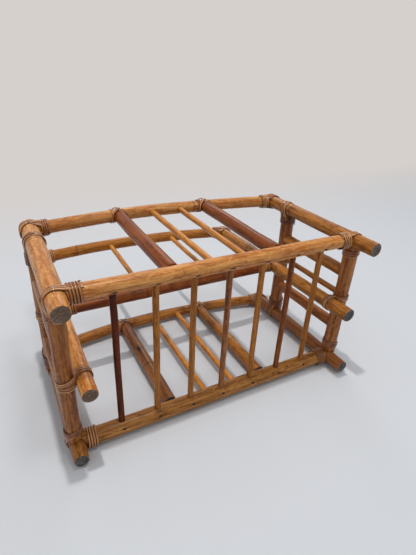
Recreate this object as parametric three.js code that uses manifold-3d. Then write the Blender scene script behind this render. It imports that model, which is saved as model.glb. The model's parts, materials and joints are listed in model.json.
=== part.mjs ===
// Magazine rack of bent and straight cane poles, lashed with split cane.
// Millimetres, +Z up. The rack lies on one long side: its six feet point to -Y,
// the open top and the handle point to +Y. Turned by 90 degrees about X it stands.
import * as THREE from 'three';
import { mergeVertices } from 'three/addons/utils/BufferGeometryUtils.js';
import Module from 'manifold-3d';

const wasm = await Module();
wasm.setup();

// ---- driving dimensions -------------------------------------------------
const legSpread = 420;        // X, between the axes of the left and right outer legs
const rackWidth = 213;        // Z, between the axes of the two long sides
const sideHeight = 200;       // Y, base rails to the ends of the side top rails
const handleHeight = 335;     // Y, base rails to the ends of the handle
const endTopHeight = 153;     // Y, base rails to the upper cross rails of the ends
const dividerHeight = 150;    // Y, base rails to the divider's lower rail
const footLength = 38;        // Y, legs below the base rails, mean of the six
const footSkewX = 4;          // the feet's common plane leans by this from the middle to each end
const footSkewZ = 5.5;        // and by this across the rack's width
const middleInset = 18;        // X, the middle legs' axes inside those of the outer legs
const topRailBow = 23;        // rise of the upper side's top rail above its ends
const lowerTopRailBow = 26;   // rise of the lower side's top rail
const handleBow = 22;         // rise of the handle
const legOverrun = 11;        // legs past the axis of the rail at their top

const baseSpindles = 7;
const spindlePitch = 50.3;
const sideBarX = [-77, -21, 27.5, 76];        // bars of both side panels, left to right
const dividerStickX = [-60, 69];
const endBarRise = [49.5, 11.5, -46];         // bars of both ends, above the rack's middle plane
const middleLegRise = {                       // above the middle plane, at the base rails and at the handle
  left: [-5.5, 0.5],
  right: [0.5, -2.5],
};

const diameter = {
  legUpper: { left: 24, right: 21.5 },
  legMiddle: { left: 20, right: 21.4 },
  legLower: { left: 21.4, right: 22 },
  postBase: { left: 19.4, right: 21.6 },
  postTop: { left: 20.4, right: 22.8 },
  baseRailUpper: 19.8,
  baseRailLower: 22.4,
  topRailUpper: 19.4,
  topRailLower: 18.8,
  handle: 20.8,
  dividerRail: 18,
  thickBar: 19.6,
  endThickBar: 18.6,
  thinBar: 9.4,
  spindle: 8.8,
};

const clearance = 0.3;        // between any two pieces that touch
const lashingWall = 1.7;      // thickness of the split cane wound on a joint
const boreDepth = 8;          // how deep a thin stick enters a pole
const poleSides = 16;
const stickSides = 10;
const bowSteps = 12;
const copeStop = 0.4;         // a coped end stops this share of the other pole's radius before its axis

// ---- places worked out from them ----------------------------------------
const half = legSpread / 2;
const middleLegX = half - middleInset;
const lowZ = 0;
const highZ = rackWidth;
const middlePlane = (lowZ + highZ) / 2;
const sideOf = { left: -1, right: 1 };
const sides = ['left', 'right'];
const footY = (x, z) => -(footLength + footSkewX * (x / half) + footSkewZ * ((z - middlePlane) / rackWidth));
const middleZ = (side, y) => {
  const [atBase, atHandle] = middleLegRise[side];
  return middlePlane + atBase + (atHandle - atBase) * (y / handleHeight);
};
const at = (x, y, z) => new THREE.Vector3(x, y, z);

// ---- solids --------------------------------------------------------------
function toManifold(geometry) {
  const bare = geometry.clone();
  bare.deleteAttribute('normal');
  bare.deleteAttribute('uv');
  const merged = mergeVertices(bare, 1e-4);
  const mesh = new wasm.Mesh({
    numProp: 3,
    vertProperties: new Float32Array(merged.attributes.position.array),
    triVerts: new Uint32Array(merged.index.array),
  });
  return new wasm.Manifold(mesh);
}

function toGeometry(solid) {
  const mesh = solid.getMesh();
  const geometry = new THREE.BufferGeometry();
  geometry.setAttribute('position', new THREE.BufferAttribute(mesh.vertProperties, 3));
  geometry.setIndex(new THREE.BufferAttribute(mesh.triVerts, 1));
  geometry.computeVertexNormals();
  return geometry;
}

// A straight round rod from a to b.
function rod(a, b, radius, facets = poleSides) {
  const along = b.clone().sub(a);
  const geometry = new THREE.CylinderGeometry(radius, radius, along.length(), facets);
  const turn = new THREE.Quaternion().setFromUnitVectors(at(0, 1, 0), along.clone().normalize());
  geometry.applyQuaternion(turn);
  const middle = a.clone().add(b).multiplyScalar(0.5);
  geometry.translate(middle.x, middle.y, middle.z);
  return toManifold(geometry);
}

// A round rod bent in one even curve: its middle stands off the chord a-b by rise, along +Y.
function bentRod(a, b, rise, radius) {
  const middle = a.clone().add(b).multiplyScalar(0.5);
  middle.y += 2 * rise;
  const path = new THREE.QuadraticBezierCurve3(a, middle, b);
  const section = new THREE.Shape();
  section.absarc(0, 0, radius, 0, Math.PI * 2);
  const geometry = new THREE.ExtrudeGeometry(section, {
    extrudePath: path, steps: bowSteps, curveSegments: poleSides / 2, bevelEnabled: false,
  });
  return toManifold(geometry);
}

// A pole knows its axis, so that others can be coped, bored or lashed to it.
function pole(a, b, width, rise = 0, facets = poleSides) {
  const radius = width / 2;
  const grown = (extra) => (rise ? bentRod(a, b, rise, radius + extra) : rod(a, b, radius + extra, facets));
  return { a, b, radius, rise, grown, solid: grown(0) };
}

// The point on a pole's axis at a given X (for the rails) or Y (for the legs).
function onAxis(p, key, value) {
  const t = (value - p.a[key]) / (p.b[key] - p.a[key]);
  const point = p.a.clone().lerp(p.b, t);
  point.y += 4 * p.rise * t * (1 - t);
  return point;
}

// Shorten the run from a to b so that it stops just short of the axes of the poles it butts against.
function buttEnds(a, b, startPole, endPole) {
  const along = b.clone().sub(a).normalize();
  const start = a.clone().addScaledVector(along, startPole.radius * copeStop);
  const end = b.clone().addScaledVector(along, -endPole.radius * copeStop);
  return [start, end];
}

// A pole between two others, its ends coped to them with the named clearance.
function coped(a, b, width, startPole, endPole, rise = 0) {
  const [start, end] = buttEnds(a, b, startPole, endPole);
  const p = pole(start, end, width, rise);
  for (const other of [startPole, endPole]) {
    p.solid = p.solid.subtract(other.grown(clearance));
  }
  return p;
}

// A bar sawn square where it butts against the base rail, and coped to the top rail.
function squareCut(a, b, width, basePole, topPole) {
  const along = b.clone().sub(a).normalize();
  const start = a.clone().addScaledVector(along, basePole.radius + clearance);
  const end = b.clone().addScaledVector(along, -topPole.radius * copeStop);
  const p = pole(start, end, width);
  p.solid = p.solid.subtract(topPole.grown(clearance));
  return p;
}

// A thin stick between two poles, its ends in blind holes bored into them.
function bored(a, b, width, startPole, endPole) {
  const along = b.clone().sub(a).normalize();
  const reach = (p) => p.radius - boreDepth;
  const start = a.clone().addScaledVector(along, reach(startPole));
  const end = b.clone().addScaledVector(along, -reach(endPole));
  const stick = pole(start, end, width, 0, stickSides);
  const holeStart = start.clone().addScaledVector(along, -clearance);
  const holeEnd = end.clone().addScaledVector(along, clearance);
  const hole = rod(holeStart, holeEnd, width / 2 + clearance, stickSides);
  startPole.solid = startPole.solid.subtract(hole);
  endPole.solid = endPole.solid.subtract(hole);
  return stick;
}

// ---- the poles -----------------------------------------------------------
const pieces = {};
const colour = {};
function add(name, piece, hex) {
  pieces[name] = piece;
  colour[name] = hex;
  return piece;
}

const honey = 0xc08a50;
const tan = 0x9a6a35;
const umber = 0x7a5030;
const redBrown = 0x8a5030;
const darkBrown = 0x5a3020;

const outerLeg = (side, z, top, width) => {
  const x = sideOf[side] * half;
  return pole(at(x, footY(x, z), z), at(x, top, z), width);
};
for (const side of sides) {
  const top = sideHeight + legOverrun;
  add(`leg_upper_${side}`, outerLeg(side, highZ, top, diameter.legUpper[side]), honey);
  add(`leg_lower_${side}`, outerLeg(side, lowZ, top, diameter.legLower[side]), tan);
  const x = sideOf[side] * middleLegX;
  const footAt = footY(x, middleZ(side, 0));
  const topAt = handleHeight + legOverrun;
  const leg = pole(at(x, footAt, middleZ(side, footAt)), at(x, topAt, middleZ(side, topAt)), diameter.legMiddle[side]);
  add(`leg_middle_${side}`, leg, honey);
}

// Long rails, left to right.
function longRail(name, y, z, width, legName, rise, hex) {
  const left = pieces[`${legName}_left`];
  const right = pieces[`${legName}_right`];
  const a = at(left.a.x, y, z.left);
  const b = at(right.a.x, y, z.right);
  return add(name, coped(a, b, width, left, right, rise), hex);
}
const level = (z) => ({ left: z, right: z });
const middleAt = (y) => ({ left: middleZ('left', y), right: middleZ('right', y) });
longRail('base_rail_upper', 0, level(highZ), diameter.baseRailUpper, 'leg_upper', 0, honey);
longRail('base_rail_lower', 0, level(lowZ), diameter.baseRailLower, 'leg_lower', 0, tan);
longRail('top_rail_upper', sideHeight, level(highZ), diameter.topRailUpper, 'leg_upper', topRailBow, honey);
longRail('top_rail_lower', sideHeight, level(lowZ), diameter.topRailLower, 'leg_lower', lowerTopRailBow, tan);
longRail('handle_rail', handleHeight, middleAt(handleHeight), diameter.handle, 'leg_middle', handleBow, honey);
longRail('divider_rail', dividerHeight, middleAt(dividerHeight), diameter.dividerRail, 'leg_middle', 0, redBrown);

// Cross rails of the two ends, beside the middle legs, from the lower to the upper leg.
// At the base they also clear the ends of the two base rails.
for (const side of sides) {
  const middleLeg = pieces[`leg_middle_${side}`];
  const crossRails = [['base', 0, diameter.postBase[side]], ['top', endTopHeight, diameter.postTop[side]]];
  for (const [where, y, width] of crossRails) {
    const off = middleLegX + middleLeg.radius + width / 2 + clearance;
    const x = sideOf[side] * off;
    const lower = pieces[`leg_lower_${side}`];
    const upper = pieces[`leg_upper_${side}`];
    const rail = coped(at(x, y, lowZ), at(x, y, highZ), width, lower, upper);
    for (const baseRail of [pieces.base_rail_lower, pieces.base_rail_upper]) {
      rail.solid = rail.solid.subtract(baseRail.grown(clearance));
    }
    add(`end_rail_${where}_${side}`, rail, umber);
  }
}

// Bars of the two side panels: the outer two are thick and butted, the inner two are thin and bored in.
for (const [level, z] of [['upper', highZ], ['lower', lowZ]]) {
  const base = pieces[`base_rail_${level}`];
  const top = pieces[`top_rail_${level}`];
  sideBarX.forEach((x, i) => {
    const a = at(x, 0, z);
    const b = onAxis(top, 'x', x);
    const thick = i === 0 || i === sideBarX.length - 1;
    const bar = thick ? squareCut(a, b, diameter.thickBar, base, top) : bored(a, b, diameter.thinBar, base, top);
    add(`side_bar_${level}_${i + 1}`, bar, thick ? redBrown : honey);
  });
}

// Sticks of the divider, from its lower rail to the handle.
dividerStickX.forEach((x, i) => {
  const rail = pieces.divider_rail;
  const handle = pieces.handle_rail;
  const stick = bored(onAxis(rail, 'x', x), onAxis(handle, 'x', x), diameter.thinBar, rail, handle);
  add(`divider_stick_${i + 1}`, stick, honey);
});

// Bars of the two ends, from the base cross rail to the upper one: thick, thin, thick.
for (const side of sides) {
  const base = pieces[`end_rail_base_${side}`];
  const top = pieces[`end_rail_top_${side}`];
  endBarRise.forEach((rise, i) => {
    const a = at(base.a.x, 0, middlePlane + rise);
    const b = at(top.a.x, endTopHeight, middlePlane + rise);
    const thin = i === 1;
    const bar = thin ? bored(a, b, diameter.thinBar, base, top) : coped(a, b, diameter.endThickBar, base, top);
    add(`end_bar_${side}_${i + 1}`, bar, thin ? honey : umber);
  });
}

// Spindles of the base, between the two base rails.
for (let i = 0; i < baseSpindles; i += 1) {
  const x = (i - (baseSpindles - 1) / 2) * spindlePitch;
  const lower = pieces.base_rail_lower;
  const upper = pieces.base_rail_upper;
  const stick = bored(at(x, 0, lowZ), at(x, 0, highZ), diameter.spindle, lower, upper);
  add(`base_spindle_${i + 1}`, stick, i === 0 ? darkBrown : tan);
}

// ---- the lashings --------------------------------------------------------
// One lashing is a skin over a joint: sleeves on each pole that meets there, less the poles themselves.
// A sleeve is given by its pole and by its two ends, as distances from the joint along a direction.
function lashing(name, joint, sleeves) {
  let skin = null;
  for (const { on, along, from, to } of sleeves) {
    const start = joint.clone().addScaledVector(along, from);
    const end = joint.clone().addScaledVector(along, to);
    const key = Math.abs(along.x) > 0.5 ? 'x' : Math.abs(along.y) > 0.5 ? 'y' : 'z';
    const sleeve = rod(onAxis(on, key, start[key]), onAxis(on, key, end[key]), on.radius + clearance + lashingWall);
    skin = skin ? skin.add(sleeve) : sleeve;
  }
  for (const { on } of sleeves) {
    skin = skin.subtract(on.grown(clearance));
  }
  add(name, { solid: skin }, umber);
}

const wrapRail = 16;      // turns on a rail, measured from the leg's surface
const wrapLeg = 10;       // straps over a leg, each way from the joint
const wrapPost = 17;      // turns on a cross rail, from the leg's surface
const crossTurns = 20;    // turns on a cross rail under a middle leg
const crossRise = 4;      // and above the middle leg's axis

const inward = (side) => at(-sideOf[side], 0, 0);
const upY = at(0, 1, 0);
const upZ = at(0, 0, 1);

for (const side of sides) {
  for (const [level, z, toPost] of [['upper', highZ, -1], ['lower', lowZ, 1]]) {
    const leg = pieces[`leg_${level}_${side}`];
    const onLeg = (y) => at(leg.a.x, y, z);
    const post = (where) => pieces[`end_rail_${where}_${side}`];
    const postAway = upZ.clone().multiplyScalar(toPost);
    const legWrap = { on: leg, along: upY, from: -wrapLeg, to: wrapLeg };
    const postWrap = (where) => ({ on: post(where), along: postAway, from: leg.radius * copeStop, to: leg.radius + wrapPost });
    const railWrap = (rail) => ({ on: rail, along: inward(side), from: leg.radius * copeStop, to: leg.radius + wrapRail });
    lashing(`lashing_base_${level}_${side}`, onLeg(0), [legWrap, railWrap(pieces[`base_rail_${level}`]), postWrap('base')]);
    lashing(`lashing_end_${level}_${side}`, onLeg(endTopHeight), [legWrap, postWrap('top')]);
    lashing(`lashing_top_${level}_${side}`, onLeg(sideHeight), [legWrap, railWrap(pieces[`top_rail_${level}`])]);
  }
  const middle = pieces[`leg_middle_${side}`];
  const legWrap = { on: middle, along: upY, from: -wrapLeg, to: wrapLeg };
  const railWrap = (rail) => ({ on: rail, along: inward(side), from: middle.radius * copeStop, to: middle.radius + wrapRail });
  const cross = (where) => ({ on: pieces[`end_rail_${where}_${side}`], along: upZ, from: -crossTurns, to: crossRise });
  lashing(`lashing_middle_base_${side}`, onAxis(middle, 'y', 0), [legWrap, cross('base')]);
  lashing(`lashing_middle_end_${side}`, onAxis(middle, 'y', endTopHeight), [legWrap, cross('top'), railWrap(pieces.divider_rail)]);
  lashing(`lashing_handle_${side}`, onAxis(middle, 'y', handleHeight), [legWrap, railWrap(pieces.handle_rail)]);
}

// ---- the group, with its origin at the middle of the ground under it -------
const rack = new THREE.Group();
for (const [name, piece] of Object.entries(pieces)) {
  const material = new THREE.MeshStandardMaterial({ color: colour[name], roughness: 0.35, metalness: 0 });
  const mesh = new THREE.Mesh(toGeometry(piece.solid), material);
  mesh.name = name;
  rack.add(mesh);
}
const extent = new THREE.Box3().setFromObject(rack);
const centre = extent.getCenter(new THREE.Vector3());
rack.position.set(-centre.x, -centre.y, -extent.min.z);

export default rack;
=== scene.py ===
"""Cane magazine rack: lacquered rattan poles and sticks, lashed with split cane, lying on one long side."""
import json
import math
import random
from functools import partial

import bmesh
import bpy
import numpy as np
from mathutils import Matrix, Vector


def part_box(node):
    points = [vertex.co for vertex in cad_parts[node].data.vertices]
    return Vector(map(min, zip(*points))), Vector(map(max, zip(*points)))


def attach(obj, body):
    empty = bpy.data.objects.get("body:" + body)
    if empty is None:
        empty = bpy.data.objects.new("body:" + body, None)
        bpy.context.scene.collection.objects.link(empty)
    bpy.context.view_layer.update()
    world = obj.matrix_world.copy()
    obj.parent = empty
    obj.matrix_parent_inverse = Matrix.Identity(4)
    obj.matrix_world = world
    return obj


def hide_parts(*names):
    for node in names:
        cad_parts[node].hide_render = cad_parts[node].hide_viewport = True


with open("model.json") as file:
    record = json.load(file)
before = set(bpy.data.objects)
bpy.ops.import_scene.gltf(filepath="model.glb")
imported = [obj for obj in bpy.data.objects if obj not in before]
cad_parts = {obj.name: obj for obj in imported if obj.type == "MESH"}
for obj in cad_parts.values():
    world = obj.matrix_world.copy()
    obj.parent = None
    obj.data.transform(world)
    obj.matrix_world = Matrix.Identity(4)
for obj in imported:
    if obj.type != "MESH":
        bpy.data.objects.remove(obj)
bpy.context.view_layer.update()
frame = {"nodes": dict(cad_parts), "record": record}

MM = 0.001
X, Y, Z = Vector((1, 0, 0)), Vector((0, 1, 0)), Vector((0, 0, 1))
SIDES = {"left": -1, "right": 1}
LEVELS = {"upper": 1, "lower": -1}
POLE_SIDES = 32
STICK_SIDES = 20
SPINDLES = range(1, 8)
RING_STEP = 11 * MM  # between the rings of a pole's mesh
SEAT_GAP = 0.3 * MM  # between a pole and what is cut or bored for it


# ---------------- small helpers
def pick(*objects):
    """Only these objects are selected, and the first is active."""
    bpy.ops.object.select_all(action="DESELECT")
    for piece in objects:
        piece.select_set(True)
    bpy.context.view_layer.objects.active = objects[0]


def settle(piece):
    """The piece's place goes into its mesh."""
    pick(piece)
    bpy.ops.object.transform_apply(location=True, rotation=True, scale=True)


def apply_all(piece):
    pick(piece)
    for modifier in list(piece.modifiers):
        bpy.ops.object.modifier_apply(modifier=modifier.name)


def drop(piece):
    bpy.data.objects.remove(piece, do_unlink=True)


def frame_on(direction, hint=None):
    """A turn that takes +Z to direction, and +X near hint."""
    z = direction.normalized()
    hint = hint or (X if abs(z.x) < 0.8 else Y)
    x = (hint - z * hint.dot(z)).normalized()
    return Matrix((x, z.cross(x), z)).transposed().to_4x4()


# ---------------- runs: where each pole lies
class Run:
    """The axis of a pole, from start to end, with an even bow of height rise along +Y."""

    def __init__(self, start, end, radius, rise=0.0):
        self.start, self.end, self.radius, self.rise = start, end, radius, rise
        self.chord = end - start

    def at(self, t):
        return self.start + self.chord * t + Y * (4 * self.rise * t * (1 - t))

    def heading(self, t):
        return (self.chord + Y * (4 * self.rise * (1 - 2 * t))).normalized()

    def where(self, axis, value):
        """The share of the run at which one coordinate has this value."""
        return (value - self.start[axis]) / self.chord[axis]

    def length(self, steps=64):
        points = [self.at(i / steps) for i in range(steps + 1)]
        return sum((b - a).length for a, b in zip(points, points[1:]))


def straight_run(node, axis):
    low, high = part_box(node)
    centre = (low + high) / 2
    others = [i for i in range(3) if i != axis]
    radius = min(high[i] - low[i] for i in others) / 2
    start, end = centre.copy(), centre.copy()
    start[axis], end[axis] = low[axis], high[axis]
    return Run(start, end, radius)


def leg_run(node):
    """A leg starts at the centre of its foot, a mount in the record, and runs along the mount's axis."""
    foot = next(m for m in frame["record"]["mounts"] if m["name"] == node.replace("leg", "foot"))
    start = Vector(foot["pos_m"])
    along = -Vector(foot["axis"]).normalized()
    low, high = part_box(node)
    return Run(start, start + along * ((high.y - start.y) / along.y), (high.x - low.x) / 2)


def bowed_run(node, left, right):
    """A rail between two legs that bows along +Y; its ends lie on the legs' axes in height."""
    low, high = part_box(node)
    tilt = abs(left.at(1).z - right.at(1).z)
    radius = (high.z - low.z - tilt) / 2
    rise = high.y - low.y - 2 * radius
    for _ in range(4):
        slope = math.atan2(4 * rise, high.x - low.x)
        end_y = low.y + radius * math.cos(slope)
        rise = high.y - radius - end_y
    start = Vector((low.x, end_y, left.at(left.where(1, end_y)).z))
    end = Vector((high.x, end_y, right.at(right.where(1, end_y)).z))
    return Run(start, end, radius, rise)


def rail_run(node, left, right):
    """A straight rail between two legs, which may lean a little."""
    low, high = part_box(node)
    y = (low.y + high.y) / 2
    start = Vector((low.x, y, left.at(left.where(1, y)).z))
    end = Vector((high.x, y, right.at(right.where(1, y)).z))
    return Run(start, end, (high.y - low.y) / 2)


runs = {}
for level in ("upper", "middle", "lower"):
    for side in SIDES:
        runs[f"leg_{level}_{side}"] = leg_run(f"leg_{level}_{side}")
for level in LEVELS:
    ends = (runs[f"leg_{level}_left"], runs[f"leg_{level}_right"])
    runs[f"base_rail_{level}"] = straight_run(f"base_rail_{level}", 0)
    runs[f"top_rail_{level}"] = bowed_run(f"top_rail_{level}", *ends)
middle_legs = (runs["leg_middle_left"], runs["leg_middle_right"])
runs["handle_rail"] = bowed_run("handle_rail", *middle_legs)
runs["divider_rail"] = rail_run("divider_rail", *middle_legs)
for node in frame["nodes"]:
    if node.startswith("end_rail") or node.startswith("base_spindle"):
        runs[node] = straight_run(node, 2)
    elif node.startswith("end_bar") or node.startswith("side_bar") or node.startswith("divider_stick"):
        runs[node] = straight_run(node, 1)
for i in (1, 2):
    low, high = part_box(f"divider_stick_{i}")
    stick = runs[f"divider_stick_{i}"]
    for end in (stick.start, stick.end):
        rail = runs["divider_rail"] if end is stick.start else runs["handle_rail"]
        end.z = rail.at(rail.where(0, end.x)).z
    stick.chord = stick.end - stick.start


# ---------------- materials
def linear(hex_code):
    """An sRGB hex colour as linear RGBA."""
    channels = [int(hex_code[i:i + 2], 16) / 255 for i in (1, 3, 5)]
    return [c / 12.92 if c <= 0.04045 else ((c + 0.055) / 1.055) ** 2.4 for c in channels] + [1.0]


def grey(value):
    return (value, value, value, 1.0)


class Shader:
    """The node tree of a material, or of the world, with one function that adds a node."""

    def __init__(self, name, kind=None):
        self.owner = (bpy.data.materials if kind is None else kind).new(name)
        self.owner.use_nodes = True
        self.tree = self.owner.node_tree
        self.tree.nodes.clear()

    def add(self, kind, links=None, settings=None, **attributes):
        """Adds a node: attributes are its own, settings its sockets' values, links its inputs' sources."""
        node = self.tree.nodes.new(kind)
        for key, value in attributes.items():
            setattr(node, key, value)
        for key, value in (settings or {}).items():
            node.inputs[key].default_value = value
        for key, source in (links or {}).items():
            self.tree.links.new(source, node.inputs[key])
        return node

    def ramp(self, factor, *stops):
        node = self.add("ShaderNodeValToRGB", {"Fac": factor})
        elements = node.color_ramp.elements
        while len(elements) < len(stops):
            elements.new(0.5)
        for element, (position, colour) in zip(elements, stops):
            element.position = position
            element.color = colour
        return node.outputs["Color"]

    def mix(self, factor, a, b, blend="MIX"):
        node = self.add("ShaderNodeMix", data_type="RGBA", blend_type=blend)
        for socket, source in ((node.inputs[0], factor), (node.inputs[6], a), (node.inputs[7], b)):
            if isinstance(source, bpy.types.NodeSocket):
                self.tree.links.new(source, socket)
            else:
                socket.default_value = source
        return node.outputs[2]

    def cover(self, colour, hex_code, mask, low, high):
        """Lays a colour over another; low and high each pair a value of the mask with a share."""
        stops = [(value, grey(share)) for value, share in (low, high)]
        return self.mix(self.ramp(mask, *stops), colour, linear(hex_code))

    def stretched_noise(self, place, along_mm, across_mm, detail=3.0, roughness=0.55, distortion=0.0):
        """Noise whose cells have this size along and across the cane."""
        scale = (1000 / along_mm, 1000 / across_mm, 1000 / across_mm)
        spot = self.add("ShaderNodeMapping", {"Vector": place}, {"Scale": scale}).outputs[0]
        settings = {"Scale": 1.0, "Detail": detail, "Roughness": roughness, "Distortion": distortion}
        return self.add("ShaderNodeTexNoise", {"Vector": spot}, settings).outputs["Fac"]

    def attribute(self, name, output="Fac"):
        return self.add("ShaderNodeAttribute", attribute_name=name).outputs[output]

    def math(self, operation, a, b, **attributes):
        return self.add("ShaderNodeMath", {0: a, 1: b}, operation=operation, **attributes).outputs[0]

    def surface(self, links, settings):
        """Joins the finish itself to the output, and returns the material."""
        finish = self.add("ShaderNodeBsdfPrincipled", links, settings)
        self.add("ShaderNodeOutputMaterial", {"Surface": finish.outputs[0]})
        return self.owner

    def shown(self):
        """1 for rays that show the backdrop, straight, mirrored or through glass; 0 for diffuse light."""
        rays = self.add("ShaderNodeLightPath").outputs
        bent = self.math("ADD", rays["Is Glossy Ray"], rays["Is Transmission Ray"])
        return self.math("ADD", rays["Is Camera Ray"], bent, use_clamp=True)


def lacquered_cane(name, light, base, dark, streaks=0.6, mottle=0.6, specks=0.5, sheen=0.2):
    """Peeled rattan under clear gloss lacquer: long fibres, slow blotches, short dark flecks, knuckle rings.

    The pattern follows the pole: the attribute grain holds metres along and across it, knuckle is above 0 in
    a ring or a knot, and tone differs from pole to pole. The finest fibres are drawn coarser than real ones,
    so that they show.
    """
    s = Shader("lacquered_rattan_" + name)
    grain = s.attribute("grain", "Vector")
    fibres = s.stretched_noise(grain, 38, 1.9, 4, 0.7, 0.2)
    bands = s.stretched_noise(grain, 90, 5.5, 3, 0.6, 0.5)
    blotches = s.stretched_noise(grain, 17, 8, 4, 0.65, 0.8)
    patches = s.stretched_noise(grain, 11, 4.5, 3, 0.6, 0.5)
    flecks = s.stretched_noise(grain, 5.5, 1.3, 2)
    scuffs = s.stretched_noise(grain, 3.2, 2.2, 3)
    colour = s.cover(linear(base), light, bands, (0.39, 0), (0.61, 1))
    colour = s.cover(colour, dark, fibres, (0.48, 0), (0.66, streaks))
    colour = s.cover(colour, dark, blotches, (0.50, 0), (0.74, mottle))
    colour = s.cover(colour, light, fibres, (0.30, 0.5), (0.42, 0))
    colour = s.cover(colour, light, patches, (0.54, 0), (0.66, 0.7))
    colour = s.cover(colour, "#2a1408", flecks, (0.66, 0), (0.76, specks))
    ring = s.math("MULTIPLY", s.attribute("knuckle"), blotches)
    colour = s.mix(ring, colour, linear("#241006"))
    range_of_tone = {"From Min": 0.0, "From Max": 1.0, "To Min": 0.88, "To Max": 1.10}
    tone = s.add("ShaderNodeMapRange", {"Value": s.attribute("tone")}, range_of_tone).outputs[0]
    tint = s.add("ShaderNodeCombineColor", {0: tone, 1: tone, 2: tone})
    colour = s.mix(1.0, colour, tint.outputs[0], "MULTIPLY")
    rough = s.add("ShaderNodeMapRange", {"Value": scuffs}, {"To Min": 0.12, "To Max": 0.52})
    relief = s.math("ADD", fibres, scuffs)
    bump = s.add("ShaderNodeBump", {"Height": relief}, {"Strength": 0.7, "Distance": 0.4 * MM})
    lacquer = {"Coat Weight": 0.8 * sheen, "Coat Roughness": 0.1, "Coat IOR": 1.5}
    return s.surface(
        {"Base Color": colour, "Roughness": rough.outputs[0], "Normal": bump.outputs[0]},
        {"IOR": 1.45, "Specular IOR Level": sheen, **lacquer},
    )


def sawn_cane_end(name, pale, dark):
    """Sawn end grain of rattan, greyed by floors: saw marks, dirt, open pores, a rim worn pale in places."""
    s = Shader(name)
    grain = s.attribute("grain", "Vector")
    split = s.add("ShaderNodeSeparateXYZ", {"Vector": grain})
    across = s.add("ShaderNodeCombineXYZ", {"X": split.outputs[1], "Y": split.outputs[2]}).outputs[0]
    radius = s.add("ShaderNodeVectorMath", {0: across}, operation="LENGTH").outputs["Value"]
    pores = s.add("ShaderNodeTexVoronoi", {"Vector": across}, {"Scale": 1000 / 1.7}).outputs["Distance"]
    marks = s.stretched_noise(across, 5, 1.8, 4, 0.7, 1.2)
    dirt = s.stretched_noise(grain, 9, 9, 2, 0.6)
    worn = s.stretched_noise(grain, 5, 5, 3, 0.7)
    colour = s.cover(linear(dark), pale, marks, (0.44, 0), (0.58, 1))
    colour = s.cover(colour, dark, dirt, (0.44, 0), (0.56, 0.85))
    colour = s.cover(colour, "#6b4a2a", s.attribute("tone"), (0.3, 0), (0.6, 0.65))
    colour = s.cover(colour, "#1d1714", pores, (0.12, 0.6), (0.45, 0))
    rim = s.ramp(radius, (7.6 * MM, grey(0)), (9.2 * MM, grey(1)))
    bare = s.math("MULTIPLY", rim, s.ramp(worn, (0.46, grey(0)), (0.56, grey(1))))
    colour = s.mix(bare, colour, linear("#a39890"))
    bump = s.add("ShaderNodeBump", {"Height": marks}, {"Strength": 0.5, "Distance": 0.3 * MM})
    return s.surface({"Base Color": colour, "Normal": bump.outputs[0]}, {"Roughness": 0.6})


def split_cane(name, light, base, dark):
    """Flat split cane, wound wet and lacquered over: fibres along the strand, and painted shade at its edges,
    where neighbouring strands meet.

    The attribute edge is 0 in the middle of a strand and 1 at its edges, where the shade is painted, and tone
    differs between strands.
    """
    s = Shader(name)
    grain = s.attribute("grain", "Vector")
    fibres = s.stretched_noise(grain, 18, 0.7, 3, 0.6)
    patches = s.stretched_noise(grain, 9, 5, 3)
    tone = s.attribute("tone")
    colour = s.cover(linear(dark), base, tone, (0.0, 0), (0.5, 1))
    colour = s.cover(colour, light, tone, (0.5, 0), (1.0, 1))
    colour = s.cover(colour, base, patches, (0.46, 0), (0.70, 0.7))
    colour = s.cover(colour, dark, fibres, (0.50, 0), (0.70, 0.6))
    # painted shade: the strand darkens towards its edges, in place of the shade in the creases between
    # strands
    colour = s.cover(colour, "#2a1307", s.attribute("edge"), (0.45, 0), (0.9, 0.95))
    bump = s.add("ShaderNodeBump", {"Height": fibres}, {"Strength": 0.35, "Distance": 0.12 * MM})
    lacquer = {"Coat Weight": 0.35, "Coat Roughness": 0.12}
    return s.surface(
        {"Base Color": colour, "Normal": bump.outputs[0]},
        {"Roughness": 0.28, "IOR": 1.45, "Specular IOR Level": 0.4, **lacquer},
    )


def blued_steel(name, hex_code):
    """Steel pins, blued and dulled by lacquer: nearly black, with hardly a shine."""
    s = Shader(name)
    return s.surface(None, {"Base Color": linear(hex_code), "Roughness": 0.55, "Metallic": 0.3})


HONEY = lacquered_cane("honey", "#d29655", "#b46c2b", "#7c3f16", streaks=0.8, mottle=0.75, specks=0.8)
PALE_STICK = lacquered_cane("core_orange", "#cc8836", "#b26c1e", "#7a4010", streaks=0.7)
TAN = lacquered_cane("tan", "#b47330", "#90551c", "#5c300d", sheen=0.13)
WHEAT = lacquered_cane(
    "wheat", "#c28543", "#9a6226", "#5c300e", streaks=0.8, mottle=0.75, specks=0.7, sheen=0.16
)
UMBER = lacquered_cane("umber", "#b0703a", "#7d4319", "#4a220b", streaks=0.55, mottle=0.55)
RUSSET = lacquered_cane("russet", "#8c4b1c", "#6d310c", "#431904", sheen=0.15)
DARK = lacquered_cane("dark", "#64290f", "#4c1a0a", "#2c0c04", sheen=0.1)
AMBER = lacquered_cane("amber", "#ba7a34", "#8f5319", "#4f2608", streaks=0.75, mottle=0.8, specks=0.8)
SAWN = sawn_cane_end("sawn_rattan_end", "#7c7672", "#1f1c1b")
LASHING = split_cane("lacquered_split_cane", "#d0935a", "#965526", "#4e250d")
PIN = blued_steel("blued_steel_pin", "#231a14")


# ---------------- poles and sticks
def select_where(mesh_object, edges=None, verts=None):
    """In edit mode, selects the edges or vertices for which the test holds, and nothing else."""
    bm = bmesh.from_edit_mesh(mesh_object.data)
    bpy.ops.mesh.select_all(action="DESELECT")
    if edges:
        bpy.ops.mesh.select_mode(type="EDGE")
        for edge in bm.edges:
            edge.select_set(edges(edge))
    else:
        bpy.ops.mesh.select_mode(type="VERT")
        for vert in bm.verts:
            vert.select_set(verts(vert))
    bm.select_flush_mode()
    bmesh.update_edit_mesh(mesh_object.data)


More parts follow.
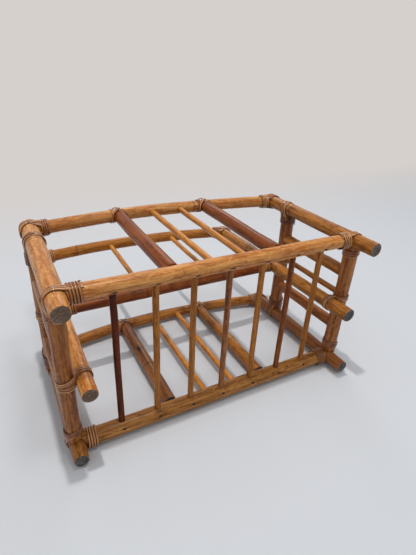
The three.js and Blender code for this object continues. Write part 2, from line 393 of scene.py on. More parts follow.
def ring_at(x, reach=0.05 * MM):
    return lambda edge: all(abs(v.co.x - x) < reach for v in edge.verts)


def swell(mesh_object, x, reach, scale):
    """Resizes the rings that lie within reach of x about the pole's axis."""
    select_where(mesh_object, verts=lambda v: abs(v.co.x - x) < reach)
    bpy.ops.transform.resize(value=(1, scale, scale), center_override=(x, 0, 0))


KNUCKLE_HALF = 1.8 * MM  # from the middle of a knuckle's groove to its outer edge
EDGE_WEAR = 1.1 * MM  # rounding of a sawn end's edge
TIP_LENGTH = 46 * MM  # how much of a pole its tapered end takes
PATH_STEPS = 48  # points of the path that bends a pole


def ring_cuts(length):
    """How many rings divide a pole of this length; knuckles sit on them."""
    return max(3, round(length / RING_STEP))


def model_pole(name, length, radius, sides, knuckles):
    """A pole along +X from the origin: rings all along it, swollen grooved knuckles, worn sawn ends."""
    bpy.ops.mesh.primitive_cylinder_add(
        vertices=sides, radius=radius, depth=length, location=(length / 2, 0, 0), rotation=(0, math.pi / 2, 0)
    )
    piece = bpy.context.active_object
    piece.name = name
    settle(piece)
    bpy.ops.object.mode_set(mode="EDIT")
    select_where(piece, edges=lambda e: abs(e.verts[0].co.x - e.verts[1].co.x) > length / 2)
    cuts = ring_cuts(length)
    bpy.ops.mesh.subdivide(number_cuts=cuts)
    step = length / (cuts + 1)
    for share in knuckles:
        ring = max(1, min(cuts, round(share * (cuts + 1)))) * step
        select_where(piece, edges=ring_at(ring))
        bpy.ops.mesh.bevel(offset=KNUCKLE_HALF, segments=6, affect="EDGES")
        swell(piece, ring, 1.1 * step, 1.012)
        swell(piece, ring, 1.05 * KNUCKLE_HALF, 1.018)
        swell(piece, ring, 0.1 * KNUCKLE_HALF, 0.965)
    wear = min(EDGE_WEAR, radius * 0.25)
    select_where(piece, edges=lambda e: ring_at(0)(e) or ring_at(length)(e))
    bpy.ops.mesh.bevel(offset=wear, segments=3, affect="EDGES")
    bpy.ops.object.mode_set(mode="OBJECT")
    return piece


def bend_along(piece, run, sway, seed, tips):
    """Lays the pole on its run with a curve modifier: the run's bow, plus the slight wander of real cane.

    Its girth wavers by a hundredth or two, and tapers to the share in tips at its start and end.
    """
    rng = random.Random(seed)
    phases = [rng.uniform(0, math.tau) for _ in range(4)]
    side = frame_on(run.chord)
    across = (side.col[0].to_3d(), side.col[1].to_3d())
    data = bpy.data.curves.new(piece.name + "_path", "CURVE")
    data.dimensions = "3D"
    data.twist_mode = "MINIMUM"
    spline = data.splines.new("POLY")
    spline.points.add(PATH_STEPS)
    for i in range(PATH_STEPS + 1):
        t = i / PATH_STEPS
        held = math.sin(math.pi * t)
        wander = Vector()
        for k, direction in enumerate(across):
            wave = math.sin(2.1 * math.pi * t + phases[k]) + 0.5 * math.sin(4.7 * math.pi * t + phases[k + 2])
            wander += direction * (sway * held * wave)
        spline.points[i].co = (*(run.at(t) + wander), 1.0)
        waver = 1 + 0.012 * math.sin(7 * t + phases[0]) + 0.008 * math.sin(17 * t + phases[1])
        ends = 1.0
        for tip, gone in zip(tips, (t, 1 - t)):
            fade = max(0.0, 1 - gone * run.length() / TIP_LENGTH)
            ends *= 1 - (1 - tip) * fade * fade * (3 - 2 * fade)
        spline.points[i].radius = waver * ends
    path = bpy.data.objects.new(data.name, data)
    bpy.context.scene.collection.objects.link(path)
    pick(piece)
    bpy.ops.object.modifier_add(type="CURVE")
    piece.modifiers[-1].object = path
    piece.modifiers[-1].deform_axis = "POS_X"
    apply_all(piece)
    drop(path)


def cut_away(piece, cutters):
    """Takes other poles' shapes out of a pole, each as a smooth rod with the seat gap around it."""
    rods = []
    for run, share_from, share_to in cutters:
        start, end = run.at(share_from), run.at(share_to)
        middle = (start + end) / 2
        bpy.ops.mesh.primitive_cylinder_add(
            vertices=48, radius=run.radius + SEAT_GAP, depth=(end - start).length, location=middle
        )
        rod = bpy.context.active_object
        rod.matrix_world = Matrix.Translation(middle) @ frame_on(end - start)
        settle(rod)
        rods.append(rod)
    for rod in rods:
        pick(piece)
        bpy.ops.object.modifier_add(type="BOOLEAN")
        piece.modifiers[-1].object = rod
        piece.modifiers[-1].operation = "DIFFERENCE"
        piece.modifiers[-1].solver = "EXACT"
        apply_all(piece)
        drop(rod)


def store(mesh, name, kind, values):
    """A point attribute with these values."""
    mesh.attributes.new(name, kind, "POINT")
    mesh.attributes[name].data.foreach_set("vector" if kind == "FLOAT_VECTOR" else "value", values)


KNOT_LONG = 13 * MM  # a knot's half length along the cane
KNOT_WIDE = 4.5 * MM  # and its half width across it
RING_INK = 1.5  # how strongly a knuckle's groove is darkened
KNOT_INK = 3.5
END_REACH = 0.3 * MM  # faces this close to a pole's end belong to its sawn end


def mark_grain(piece, run, knuckles, knots, seed):
    """Stores each vertex's place along and across the pole, its nearness to a groove or knot, and a tone."""
    rng = random.Random(seed * 7 + 1)
    offset = rng.uniform(0, 5)
    pole_tone = rng.random()
    side = frame_on(run.chord)
    u, v = side.col[0].to_3d(), side.col[1].to_3d()
    size = run.chord.length
    along = run.chord / size
    mesh = piece.data
    grain, rings = [], []
    cuts = ring_cuts(run.length())
    places = [round(share * (cuts + 1)) / (cuts + 1) * size for share in knuckles]
    for vertex in mesh.vertices:
        away = vertex.co - run.start
        x = away.dot(along)
        t = x / size
        bow = Y * (4 * run.rise * t * (1 - t))
        grain += [x + offset, (away - bow).dot(u), (away - bow).dot(v)]
        near = min((abs(x - place) for place in places), default=1.0)
        ring = max(0.0, RING_INK - RING_INK * near / KNUCKLE_HALF)
        for share, way in knots:
            aside = (away - bow) - way.normalized() * run.radius
            aside -= along * aside.dot(along)
            apart = math.hypot((x - share * size) / KNOT_LONG, aside.length / KNOT_WIDE)
            ring = max(ring, KNOT_INK - KNOT_INK * apart)
        rings.append(ring)
    store(mesh, "grain", "FLOAT_VECTOR", grain)
    store(mesh, "knuckle", "FLOAT", rings)
    store(mesh, "tone", "FLOAT", [pole_tone] * len(rings))


def finish_pole(piece, run, material, knuckles, knots, seed, sawn):
    mesh = piece.data
    mesh.materials.clear()
    mesh.materials.append(material)
    mesh.materials.append(SAWN)
    along = run.chord.normalized()
    for face in mesh.polygons:
        beyond = (face.center - run.start).dot(along)
        at_end = beyond < END_REACH or beyond > run.chord.length - END_REACH
        face.material_index = 1 if sawn and at_end and abs(face.normal.dot(along)) > 0.7 else 0
    mark_grain(piece, run, knuckles, knots, seed)
    pick(piece)
    bpy.ops.object.shade_smooth_by_angle(angle=math.radians(35))
    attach(piece, "root")


def make_pole(
    node, material, knuckles=(), cutters=(), sway=0.4 * MM, sides=POLE_SIDES,
    tips=(1.0, 1.0), longer=0.0, knots=(),
):
    """A pole or stick in place of a node, coped and bored for its cutters.

    longer takes its start past the CAD end, into the wedge that the cutters leave. Each knot is a share of
    the run and the way that it faces.
    """
    run = runs[node]
    if longer:
        run = Run(run.start - run.heading(0) * longer, run.end, run.radius, run.rise)
    seed = sum(ord(c) * (i + 1) for i, c in enumerate(node))
    piece = model_pole(node + "_cane", run.length(), run.radius, sides, knuckles)
    bend_along(piece, run, sway, seed, tips)
    cut_away(piece, cutters)
    sawn = node.startswith("leg") or "bar_lower" in node
    finish_pole(piece, run, material, knuckles, knots, seed, sawn)
    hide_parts(node)


def near_end(run, share, reach=30 * MM):
    """The stretch of a leg or rail around a share of its run, for a cutter."""
    part = reach / run.chord.length
    return (run, share - part, share + part)


def seats(*pairs):
    """Cutters for the poles that a pole butts against, each at a given point."""
    return [near_end(runs[node], runs[node].where(axis, value)) for node, axis, value in pairs]


LEG_CANE = {
    "upper": {"left": HONEY, "right": AMBER},
    "middle": {"left": HONEY, "right": AMBER},
    "lower": {"left": AMBER, "right": UMBER},
}
FOOT_TIPS = {  # the girth of each foot, as a share of its leg's
    "upper": {"left": 0.86, "right": 0.97},
    "middle": {"left": 0.98, "right": 0.98},
    "lower": {"left": 0.88, "right": 0.88},
}
for side in SIDES:
    for level in ("upper", "middle", "lower"):
        material = LEG_CANE[level][side]
        tips = (FOOT_TIPS[level][side], 1.0)
        make_pole(f"leg_{level}_{side}", material, (0.7,) if level != "lower" else (), tips=tips)


def make_long_rail(part, level, material, knuckles):
    node = f"{part}_rail_{level}"
    run = runs[node]
    holes = [(runs[f"side_bar_{level}_{i}"], 0, 1) for i in (2, 3)]
    if part == "base":
        holes += [(runs[f"base_spindle_{i}"], 0, 1) for i in SPINDLES]
    legs = seats((f"leg_{level}_left", 1, run.start.y), (f"leg_{level}_right", 1, run.end.y))
    make_pole(node, material, knuckles, legs + holes)


make_long_rail("base", "upper", HONEY, ())
make_long_rail("base", "lower", WHEAT, ())
make_long_rail("top", "upper", HONEY, (0.62,))
make_long_rail("top", "lower", AMBER, (0.3,))


def make_middle_rail(node, material, knuckles):
    run = runs[node]
    legs = seats(("leg_middle_left", 1, run.start.y), ("leg_middle_right", 1, run.end.y))
    make_pole(node, material, knuckles, legs + [(runs[f"divider_stick_{i}"], 0, 1) for i in (1, 2)])


make_middle_rail("handle_rail", TAN, (0.18,))
make_middle_rail("divider_rail", RUSSET, (0.35,))

for side in SIDES:
    for where in ("base", "top"):
        node = f"end_rail_{where}_{side}"
        y = runs[node].start.y
        legs = seats((f"leg_lower_{side}", 1, y), (f"leg_upper_{side}", 1, y))
        make_pole(node, UMBER, (0.45,) if where == "top" else (), legs + [(runs[f"end_bar_{side}_2"], 0, 1)])
    for i, material in ((1, AMBER), (3, UMBER)):
        z = runs[f"end_bar_{side}_{i}"].start.z
        rails = seats((f"end_rail_base_{side}", 2, z), (f"end_rail_top_{side}", 2, z))
        make_pole(f"end_bar_{side}_{i}", material, (), rails)
    make_pole(f"end_bar_{side}_2", AMBER, (), sides=STICK_SIDES)

THICK_BAR_CANE = {"upper": {1: RUSSET, 4: RUSSET}, "lower": {1: UMBER, 4: AMBER}}
for level in LEVELS:
    for i in (1, 4):
        node = f"side_bar_{level}_{i}"
        x = runs[node].start.x
        rails = seats((f"top_rail_{level}", 0, x), (f"base_rail_{level}", 0, x))
        knuckles = (0.4,) if level == "lower" else ()
        knots = ((0.6, Z - X * 0.3),) if node == "side_bar_lower_1" else ()
        longer = 3.5 * MM if level == "upper" else 0.0
        make_pole(node, THICK_BAR_CANE[level][i], knuckles, rails, longer=longer, knots=knots)
    for i in (2, 3):
        make_pole(f"side_bar_{level}_{i}", PALE_STICK, (), sway=0.25 * MM, sides=STICK_SIDES)
for i in (1, 2):
    make_pole(f"divider_stick_{i}", PALE_STICK, (), sway=0.25 * MM, sides=STICK_SIDES)

SPINDLE_CANE = [DARK, TAN, TAN, UMBER, TAN, RUSSET, TAN]
for i, material in zip(SPINDLES, SPINDLE_CANE):
    make_pole(f"base_spindle_{i}", material, (), sway=0.2 * MM, sides=STICK_SIDES)


# ---------------- lashings
STRAND_WIDTH = 3.1 * MM
BROAD = 3.5 * MM  # the width of strands that bind a leg to an end rail
LIGHT = 3.0 * MM  # and of those at the middle legs and cross ties
STRAND_THICK = 1.35 * MM
STRAND_PITCH = 3.5 * MM
STRAND_STEP = 1.5 * MM  # between the rings of a strand's mesh
TUCK = 0.9 * MM  # how far turns stand off where they lie on other strands
# A strand's section, in shares of its width and thickness: a domed outer face on a flat inner one.
SECTION = [
    (-0.5, -0.1), (-0.42, 0.25), (-0.24, 0.5), (0.0, 0.6), (0.24, 0.5), (0.42, 0.25), (0.5, -0.1),
    (0.3, -0.4), (-0.3, -0.4),
]


def on(run, axis, value, out, lift=0.0):
    """A point of a route: on a pole, where its axis passes this value of one coordinate, on the side out."""
    share = run.where(axis, value)
    heading = run.heading(share)
    out = (out - heading * out.dot(heading)).normalized()
    return run.at(share) + out * (run.radius + STRAND_THICK / 2 + lift), lift


def coil(run, axis, start, step, out, then, turns, lift=0.0, shares=12):
    """Points of a route that winds round a pole, from side out towards side then, moving step each turn."""
    route = []
    for i in range(round(turns * shares) + 1):
        angle = math.tau * i / shares
        direction = out * math.cos(angle) + then * math.sin(angle)
        route.append(on(run, axis, start + step * angle / math.tau, direction, lift))
    return route


def clear_of(leg, joint, way, axis, reach):
    """The value of one coordinate that lies this far clear of a leg, on the side that way points to."""
    return joint[axis] + way[axis] * (leg.radius + reach)


def about(points, run):
    """For an array of points: their shares along a pole, and their offsets from its axis."""
    start, chord = np.array(run.start), np.array(run.chord)
    share = (points - start) @ chord / (chord @ chord)
    axis = start + share[:, None] * chord
    axis[:, 1] += 4 * run.rise * share * (1 - share)
    heading = np.tile(chord, (len(points), 1))
    heading[:, 1] += 4 * run.rise * (1 - 2 * share)
    heading /= np.linalg.norm(heading, axis=1)[:, None]
    offset = points - axis
    offset -= np.sum(offset * heading, axis=1)[:, None] * heading
    return share, offset


def tighten(route, poles, rounds=30):
    """Lays a route at even steps, then pulls it smooth while the poles push it out."""
    points = np.array([point for point, _ in route])
    lifts = np.array([lift for _, lift in route])
    gone = np.concatenate([[0], np.cumsum(np.linalg.norm(np.diff(points, axis=0), axis=1))])
    steps = np.linspace(0, gone[-1], max(3, round(gone[-1] / STRAND_STEP)) + 1)
    points = np.column_stack([np.interp(steps, gone, points[:, i]) for i in range(3)])
    lifts = np.interp(steps, gone, lifts)
    for _ in range(rounds):
        points[1:-1] += 0.5 * ((points[:-2] + points[2:]) / 2 - points[1:-1])
        for run in poles:
            share, offset = about(points, run)
            away = np.linalg.norm(offset, axis=1)
            need = run.radius + STRAND_THICK / 2 + lifts
            sunk = (share >= 0) & (share <= 1) & (away < need)
            points[sunk] += offset[sunk] * (need[sunk] / away[sunk] - 1)[:, None]
    return points


def facing(points, poles):
    """Which way a strand's outer face looks at each point: out from the pole that it lies on."""
    total = np.zeros_like(points)
    for run in poles:
        share, offset = about(points, run)
        away = np.linalg.norm(offset, axis=1)
        weight = np.exp(-(away - run.radius) / (1.2 * MM)) * ((share > -0.05) & (share < 1.05))
        total += offset / away[:, None] * weight[:, None]
    total /= np.linalg.norm(total, axis=1)[:, None] + 1e-9
    for _ in range(4):
        total[1:-1] = (total[:-2] + 2 * total[1:-1] + total[2:]) / 4
    tangent = np.gradient(points, axis=0)
    tangent /= np.linalg.norm(tangent, axis=1)[:, None]
    total -= np.sum(total * tangent, axis=1)[:, None] * tangent
    total /= np.linalg.norm(total, axis=1)[:, None]
    return total, np.cross(tangent, total)


def strand(route, poles, rng, width=STRAND_WIDTH, rounds=30, shades=(0.45, 1.0)):
    """A strand along a route; its face has to stay flat on each pole in turn, so its rings are laid in code.

    shades is the range that its tone is drawn from, where 0 is dark and 1 is light; a dark range is painted
    shade, for turns that lie in shadow.
    """
    points = tighten(route, poles, rounds)
    outward, across = facing(points, poles)
    count, ring = len(points), len(SECTION)
    phase = rng.uniform(0, math.tau)
    drift = 1 + 0.06 * np.sin(np.arange(count) * 0.23 + phase)
    verts = []
    for i in range(count):
        for u, w in SECTION:
            verts.append(points[i] + across[i] * (u * width * drift[i]) + outward[i] * (w * STRAND_THICK))
    faces = []
    for i in range(count - 1):
        for k in range(ring):
            n = (k + 1) % ring
            faces.append((i * ring + k, i * ring + n, (i + 1) * ring + n, (i + 1) * ring + k))
    faces.append(tuple(range(ring - 1, -1, -1)))
    faces.append(tuple(range((count - 1) * ring, count * ring)))
    mesh = bpy.data.meshes.new("strand")
    mesh.from_pydata([tuple(v) for v in verts], [], faces)
    start, shade = rng.uniform(0, 3), rng.uniform(*shades)
    grain = []
    for i in range(count):
        for u, w in SECTION:
            grain += [start + i * STRAND_STEP, u * width, w * STRAND_THICK]
    store(mesh, "grain", "FLOAT_VECTOR", grain)
    # edge places the painted shade along each side of the strand, for the creases between strands
    store(mesh, "edge", "FLOAT", [2 * abs(u) for u, _ in SECTION] * count)
    store(mesh, "tone", "FLOAT", [shade] * (count * ring))
    piece = bpy.data.objects.new("strand", mesh)
    bpy.context.scene.collection.objects.link(piece)
    pick(piece)
    bpy.ops.object.mode_set(mode="EDIT")
    bpy.ops.mesh.select_all(action="SELECT")
    bpy.ops.mesh.normals_make_consistent(inside=False)
    bpy.ops.object.mode_set(mode="OBJECT")
    return piece


def join_as(name, parts, material, angle):
    """Joins parts to one piece, shaded smooth up to this angle, with its material and slot."""
    pick(*parts)
    bpy.ops.object.join()
    piece = bpy.context.active_object
    piece.name = name
    piece.data.materials.clear()
    piece.data.materials.append(material)
    bpy.ops.object.shade_smooth_by_angle(angle=math.radians(angle))
    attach(piece, "root")
    return piece


def finish_lashing(strands, node):
    piece = join_as(node + "_strands", strands, LASHING, 60)
    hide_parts(node)


def spaced(count, pitch=STRAND_PITCH):
    """Places this far apart, centred on 0."""
    return [(i - (count - 1) / 2) * pitch for i in range(count)]


FALL = 7 * MM  # how far a strand runs along the end rail in its first quarter turn
DRIFT = 2 * MM  # and how much further in a whole turn


def lash_base(side, level, seed):
    """Leg, base rail and end rail: three strands from the rail, over the leg and round the end rail.

    Their tails lie under the turns that hold the rail, and more turns close the lashing on the end rail.
    """
    rng = random.Random(seed)
    leg, rail, post = runs[f"leg_{level}_{side}"], runs[f"base_rail_{level}"], runs[f"end_rail_base_{side}"]
    poles = (leg, rail, post)
    inward, away = -SIDES[side] * X, -LEVELS[level] * Z
    outward = -inward
    joint = leg.at(leg.where(1, rail.start.y))
    rail_at = partial(clear_of, leg, joint, inward, 0)
    post_at = partial(clear_of, leg, joint, away, 2)
    over_leg = (inward * 0.5 - away, -away, outward * 0.7 - away, outward, outward + away * 0.4)
    tail, lip, stack = 17 * MM, 3 * MM, 3.6 * MM
    forward = 4 * MM * LEVELS[level]
    low = 3 * MM if level == "lower" else 0.0
    strands = []
    for k, shift in enumerate(spaced(3, 3.7 * MM)):
        shift -= forward
        lean = Y * (shift / leg.radius)
        route = [on(rail, 0, rail_at(reach), -away + lean) for reach in (tail, lip)]
        route += [on(leg, 1, joint.y + shift, d) for d in over_leg]
        for i in range(1, 12):
            angle = math.radians(6 + 30 * i)
            direction = outward * math.cos(angle) - Y * math.sin(angle)
            fall = FALL * min(1.0, angle / (math.pi / 2)) + DRIFT * angle / math.tau
            route.append(on(post, 2, post_at(low + stack * k + fall), direction))
        strands.append(strand(route, poles, rng, BROAD))
    pitch = 3.3 * MM if side == "left" else 3.7 * MM
    turns = coil(rail, 0, rail_at(0.4 * MM), inward.x * pitch, away, Y, 4.4, TUCK)
    strands.append(strand(turns, poles, rng, 2.9 * MM))
    # painted shade: these turns on the end rail take only dark tones, for the shadow under the leg
    turns = coil(post, 2, post_at(low + 6 * MM), away.z * 3.3 * MM, Y, inward, 2.4, 0.4 * MM)
    strands.append(strand(turns, poles, rng, shades=(0.25, 0.45)))
    finish_lashing(strands, f"lashing_base_{level}_{side}")


def lash_end(side, level, seed):
    """A leg on the end rail near the top: strands over it and down both sides of the rail, and turns."""
    rng = random.Random(seed)
    leg, post = runs[f"leg_{level}_{side}"], runs[f"end_rail_top_{side}"]
    poles = (leg, post)
    inward, away = -SIDES[side] * X, -LEVELS[level] * Z
    outward = -inward
    joint = leg.at(leg.where(1, post.start.y))
    post_at = partial(clear_of, leg, joint, away, 2)
    over_leg = ((-1, inward), (-0.5, inward - away), (0, -away), (0.5, outward - away), (1, outward))
    tail, lip = 12 * MM, 2 * MM
    strands = []
    for shift, slant in [(s, 0.0) for s in spaced(4, 3.9 * MM)] + [(-2 * MM, 6 * MM)]:
        lift = TUCK if slant else 0.0
        y = joint.y + shift
        before, after = (Y * ((shift + slant * share) / leg.radius) for share in (-1, 1))
        route = [on(post, 2, post_at(reach), inward + before) for reach in (tail, lip)]
        route += [on(leg, 1, y + slant * share, d, lift) for share, d in over_leg]
        route += [on(post, 2, post_at(reach), outward + after) for reach in (lip, tail)]
        strands.append(strand(route, poles, rng, BROAD))
    # painted shade: these turns on the end rail take only dark tones, for the shadow that they lie in under
    # the leg
    turns = coil(post, 2, post_at(1.5 * MM), away.z * 3.5 * MM, Y, outward, 4.4, TUCK)
    strands.append(strand(turns, poles, rng, shades=(0.15, 0.4)))
    finish_lashing(strands, f"lashing_end_{level}_{side}")


# Where crossing strands lie along a leg, and how far they slant along it on their way over.
CROSSING = [(shift * MM, slant * MM) for slant in (6, -6) for shift in (-7, -3.5, 0, 3.5)]


def lash_butt(name, leg, rail, side, seed):
    """A rail that butts against a leg near its end: strands that cross on the leg, and turns on the rail."""
    rng = random.Random(seed)
    poles = (leg, rail)
    inward = -SIDES[side] * X
    outward = -inward
    joint = leg.at(leg.where(1, rail.at(0.0 if side == "left" else 1.0).y))
    rail_at = partial(clear_of, leg, joint, inward, 0)
    down_leg = ((0, Z), (0.6, outward + Z), (1, outward), (0.6, outward - Z), (0, -Z))
    over_leg = ((-0.6, inward * 0.5 + Z), *down_leg)
    tail, lip = 13 * MM, 3 * MM
    strands = []
    for shift, slant in CROSSING:
        lift = TUCK if slant < 0 else 0.0
        y = joint.y + shift
        lean = Y * ((shift - slant) / rail.radius)
        ends = ((tail, lift * 0.5), (lip, lift))
        route = [on(rail, 0, rail_at(reach), Z + lean, rise) for reach, rise in ends]
        route += [on(leg, 1, y + slant * share, d, lift) for share, d in over_leg]
        route += [on(rail, 0, rail_at(reach), -Z + lean, rise) for reach, rise in reversed(ends)]
        strands.append(strand(route, poles, rng))
    turns = coil(rail, 0, rail_at(1.6 * MM), inward.x * 2.9 * MM, -Y, Z, 3.4, 1.3 * TUCK)
    strands.append(strand(turns, poles, rng, 2.8 * MM))
    finish_lashing(strands, name)


SADDLE_ROUNDS = 16  # a saddle is pulled less tight than other strands, so that its loops stay open


def lash_middle(side, where, seed):
    """A middle leg beside an end rail: a saddle over the leg that crosses to the end rail, and turns below.

    At the top the divider's rail butts on the leg there too, and gets turns and two strands of its own.
    """
    rng = random.Random(seed)
    leg, post = runs[f"leg_middle_{side}"], runs[f"end_rail_{where}_{side}"]
    poles = (leg, post)
    inward = -SIDES[side] * X
    outward = -inward
    front = -Y if where == "base" else Y
    joint = leg.at(leg.where(1, post.start.y))
    level = joint.z + (9 if side == "left" else 12) * MM
    fall = 6 * MM if side == "left" else 0.5 * MM
    strands = []
    for k in range(3):
        y = joint.y + front.y * (-4.5 + 3.1 * k) * MM
        route = [on(leg, 1, joint.y + front.y * 5 * MM, -Z - inward * 0.4)]
        route += [on(leg, 1, y, d) for d in (inward - Z, inward, inward + Z, Z)]
        route.append(on(leg, 1, y - front.y * 2 * MM, Z - inward * 0.7))
        z = level - 3.1 * MM * k
        route.append(on(post, 2, z - 0.15 * fall, front + inward * 0.7, TUCK))
        route.append(on(post, 2, z - 0.6 * fall, front, 0.4 * TUCK))
        for i in range(1, 8):
            angle = math.radians(45 * i)
            direction = front * math.cos(angle) + outward * math.sin(angle)
            route.append(on(post, 2, z - fall - 3 * MM * i / 8, direction))
        strands.append(strand(route, poles, rng, LIGHT, SADDLE_ROUNDS))
    below = joint.z - leg.radius + (9 if side == "left" else -4) * MM
    rising = [
        on(post, 2, below - 4 * MM, outward, 0.0),
        on(post, 2, below, front + outward * 0.3, TUCK),
        on(post, 2, joint.z - 3 * MM, front + inward, 1.5 * TUCK),
        on(leg, 1, joint.y + front.y * 4 * MM, Z - inward * 0.6, TUCK),
        on(leg, 1, joint.y + front.y * 2 * MM, Z + inward * 0.5, 0.0),
        on(leg, 1, joint.y, inward, 0.0),
        on(leg, 1, joint.y - front.y * 2 * MM, inward - Z, 0.0),
    ]
    strands.append(strand(rising, poles, rng, LIGHT, SADDLE_ROUNDS))
    turns = coil(post, 2, below, -3.3 * MM, inward, -front, 2.4, 0.4 * TUCK)
    strands.append(strand(turns, poles, rng, LIGHT))
    if where == "top":
        rail = runs["divider_rail"]
        start = clear_of(leg, joint, inward, 0, 1.5 * MM)
        tail = start + inward.x * 9 * MM
        strands.append(strand(coil(rail, 0, start, inward.x * STRAND_PITCH, -Z, Y, 3.2), (rail,), rng))
        for shift in spaced(2):
            y = rail.start.y + shift
            route = [on(rail, 0, tail, Z + Y * shift / rail.radius)]
            route += [on(leg, 1, y, d) for d in (inward + Z, Z, outward + Z, outward, outward - Z, -Z)]
            route.append(on(rail, 0, tail, -Z + Y * shift / rail.radius))
            strands.append(strand(route, (leg, rail), rng))
    part = "base" if where == "base" else "end"
    finish_lashing(strands, f"lashing_middle_{part}_{side}")


def tie_bar(level, i, seed):
    """A light cross tie where a thick side bar butts against its top rail: turns and three long slants."""
    rng = random.Random(seed)
    bar, rail = runs[f"side_bar_{level}_{i}"], runs[f"top_rail_{level}"]
    poles = (bar, rail)
    x = bar.start.x
    strands = []
    near = x - bar.radius - 1.5 * MM
    strands.append(strand(coil(rail, 0, near - 3 * MM, 3.2 * MM, -Y, -Z, 2.3), poles, rng, LIGHT))
    way_over = ((0, -Y - Z * 0.3), (0.3, Z - Y), (0.5, Z), (0.7, Z + Y), (1, Y), (1, Y - Z))
    for k, (a, b) in enumerate(((-12, 7), (-9, 10), (7, -11))):
        lift = TUCK * (1 + 0.5 * k)
        route = [on(rail, 0, x + (a + (b - a) * share) * MM, d, lift) for share, d in way_over]
        strands.append(strand(route, poles, rng, LIGHT, 10))
    join_as(f"cross_tie_{level}_{i}", strands, LASHING, 60)


seed = 11
for side in SIDES:
    for level in LEVELS:
        lash_base(side, level, seed)
        lash_end(side, level, seed + 1)
        corner = (runs[f"leg_{level}_{side}"], runs[f"top_rail_{level}"])
        lash_butt(f"lashing_top_{level}_{side}", *corner, side, seed + 2)
        seed += 3
    lash_middle(side, "base", seed)
    lash_middle(side, "top", seed + 1)
    lash_butt(f"lashing_handle_{side}", runs[f"leg_middle_{side}"], runs["handle_rail"], side, seed + 2)
    seed += 3
for level in LEVELS:
    for i in (1, 4):
        tie_bar(level, i, seed)
        seed += 1


# ---------------- pins
PIN_THICK = 0.6 * MM
PIN_SUNK = 0.05 * MM  # how deep a pin's middle lies in the cane


def pin_head(place, out, length, width):
    """The dark oval of a steel pin driven in beside a spindle: a low dome, long along the rail."""
    bpy.ops.mesh.primitive_cylinder_add(vertices=16, radius=width / 2, depth=PIN_THICK)
    head = bpy.context.active_object
    bpy.ops.object.mode_set(mode="EDIT")
    select_where(head, edges=lambda e: all(v.co.z > 0 for v in e.verts))
    bpy.ops.mesh.bevel(offset=0.25 * MM, segments=2, affect="EDGES")
    bpy.ops.mesh.select_all(action="SELECT")
    bpy.ops.transform.resize(value=(length / width, 1, 1), center_override=(0, 0, 0))
    bpy.ops.object.mode_set(mode="OBJECT")
    head.matrix_world = Matrix.Translation(place) @ frame_on(out, X)
    settle(head)
    return head


def pin_row(level, length, width, below):
    """A pin for each spindle in a base rail, this far below the middle of the rail's face."""
    rng = random.Random(5)
    rail = runs[f"base_rail_{level}"]
    heads = []
    for i in SPINDLES:
        x = runs[f"base_spindle_{i}"].start.x + rng.uniform(-1, 1) * MM
        out = (-Y - Z * (below + rng.uniform(-0.8, 0.8) * MM) / rail.radius).normalized()
        place = rail.at(rail.where(0, x)) + out * (rail.radius - PIN_SUNK)
        heads.append(pin_head(place, out, length, width))
    join_as(f"spindle_pins_{level}", heads, PIN, 40)


pin_row("upper", 7.4 * MM, 2.6 * MM, 4.4 * MM)
pin_row("lower", 5.4 * MM, 2.8 * MM, -4.6 * MM)


# ---------------- stage
def studio_paint(floor_colour, wall_colour):
    """Matt paint that turns from the floor's colour to the wall's as the sweep rises."""
    s = Shader("matt_studio_paint")
    place = s.add("ShaderNodeTexCoord").outputs["Object"]
    split = s.add("ShaderNodeSeparateXYZ", {"Vector": place})
    colour = s.ramp(split.outputs["Z"], (0.0, linear(floor_colour)), (0.5, linear(wall_colour)))
    surface = s.add("ShaderNodeBsdfPrincipled", {"Base Color": colour}, {"Roughness": 0.75})
    wall = s.ramp(split.outputs["Y"], (0.35, grey(0)), (1.0, grey(1)))
    share = s.math("MULTIPLY", s.shown(), wall)
    glow = s.add("ShaderNodeEmission", None, {"Color": linear("#d6d0cd"), "Strength": 1.0})
    both = s.add("ShaderNodeMixShader", {0: share, 1: surface.outputs[0], 2: glow.outputs[0]})
    s.add("ShaderNodeOutputMaterial", {"Surface": both.outputs[0]})
    return s.owner


FLOOR_WIDTH, FLOOR_DEPTH, WALL_HEIGHT, SWEEP = 14, 5, 4, 0.8


def stage_floor():
    """A pale floor that sweeps up into the backdrop in one piece."""
    bpy.ops.mesh.primitive_plane_add(size=1, location=(0, 0, 0))
    floor = bpy.context.active_object
    floor.name = "floor_and_backdrop"
    bpy.ops.object.mode_set(mode="EDIT")
    bpy.ops.transform.resize(value=(FLOOR_WIDTH, FLOOR_DEPTH, 1), center_override=(0, 0, 0))
    select_where(floor, edges=lambda e: all(v.co.y > 0 for v in e.verts))
    bpy.ops.mesh.extrude_region_move(TRANSFORM_OT_translate={"value": (0, 0, WALL_HEIGHT)})
    select_where(floor, edges=lambda e: all(v.co.y > 0 and v.co.z < 0.01 for v in e.verts))
    bpy.ops.mesh.bevel(offset=SWEEP, segments=12, affect="EDGES")
    bpy.ops.object.mode_set(mode="OBJECT")
    floor.data.materials.append(studio_paint("#c9ccd1", "#f4f1ee"))
    pick(floor)
    bpy.ops.object.shade_smooth()


def area_light(name, place, aim, size, watts, colour):
    """A round lamp at a place, turned to its aim."""
    data = bpy.data.lights.new(name, "AREA")
    data.shape = "DISK"
    data.size = size
    data.energy = watts
    data.color = colour
    lamp = bpy.data.objects.new(name, data)
    bpy.context.scene.collection.objects.link(lamp)
    lamp.matrix_world = Matrix.Translation(place) @ frame_on(place - aim)


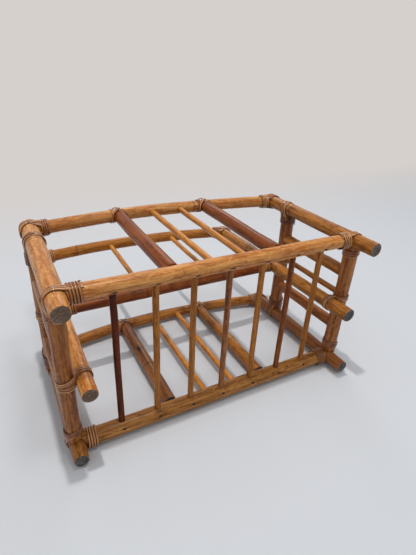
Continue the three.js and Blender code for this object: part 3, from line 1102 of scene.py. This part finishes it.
def world_light(overhead, level, wall_colour):
    """A soft room: brightest overhead, dimmer at the height of the eye, and seen in the wall's colour."""
    s = Shader("soft_room", bpy.data.worlds)
    place = s.add("ShaderNodeTexCoord").outputs["Generated"]
    split = s.add("ShaderNodeSeparateXYZ", {"Vector": place})
    settings = {"From Max": 0.8, "To Min": level, "To Max": overhead}
    rise = s.add("ShaderNodeMapRange", {"Value": split.outputs["Z"]}, settings)
    room = s.add("ShaderNodeBackground", {"Strength": rise.outputs[0]}, {"Color": (0.96, 0.98, 1.0, 1.0)})
    wall = s.add("ShaderNodeBackground", None, {"Color": linear(wall_colour)})
    both = s.add("ShaderNodeMixShader", {0: s.shown(), 1: room.outputs[0], 2: wall.outputs[0]})
    s.add("ShaderNodeOutputWorld", {"Surface": both.outputs[0]})
    bpy.context.scene.world = s.owner


CAMERA_FROM_RAIL = Vector((-244.4, -373.5, 424.2)) * MM  # from the middle of the lower base rail


def camera():
    """A hand-held view from in front of the left end, from above."""
    yaw, pitch, roll = (math.radians(a) for a in (29.64, -27.71, 3.11))
    forward = Vector((math.sin(yaw) * math.cos(pitch), math.cos(yaw) * math.cos(pitch), math.sin(pitch)))
    level = Vector((math.cos(yaw), -math.sin(yaw), 0))
    upright = level.cross(forward)
    right = level * math.cos(roll) + upright * math.sin(roll)
    up = upright * math.cos(roll) - level * math.sin(roll)
    rail = runs["base_rail_lower"]
    place = (rail.start + rail.end) / 2 + CAMERA_FROM_RAIL
    data = bpy.data.cameras.new("camera")
    data.lens = 25.6
    data.sensor_width = 36
    data.clip_start = 0.01
    seen_from = bpy.data.objects.new("camera", data)
    bpy.context.scene.collection.objects.link(seen_from)
    seen_from.matrix_world = Matrix.Translation(place) @ Matrix((right, up, -forward)).transposed().to_4x4()
    bpy.context.scene.camera = seen_from


stage_floor()
world_light(0.70, 0.35, "#d2cfce")
area_light("ceiling", Vector((-0.12, -0.1, 2.6)), Vector(), 0.08, 26, (1.0, 0.98, 0.95))
area_light("fill", Vector((0.3, -0.6, 2.4)), Vector(), 0.4, 7, (1.0, 0.99, 0.97))
area_light("window", Vector((0.9, 2.1, 1.9)), Vector((0, 0, 0.1)), 1.0, 9, (0.96, 0.98, 1.0))
camera()
bpy.context.scene.view_settings.view_transform = "Standard"
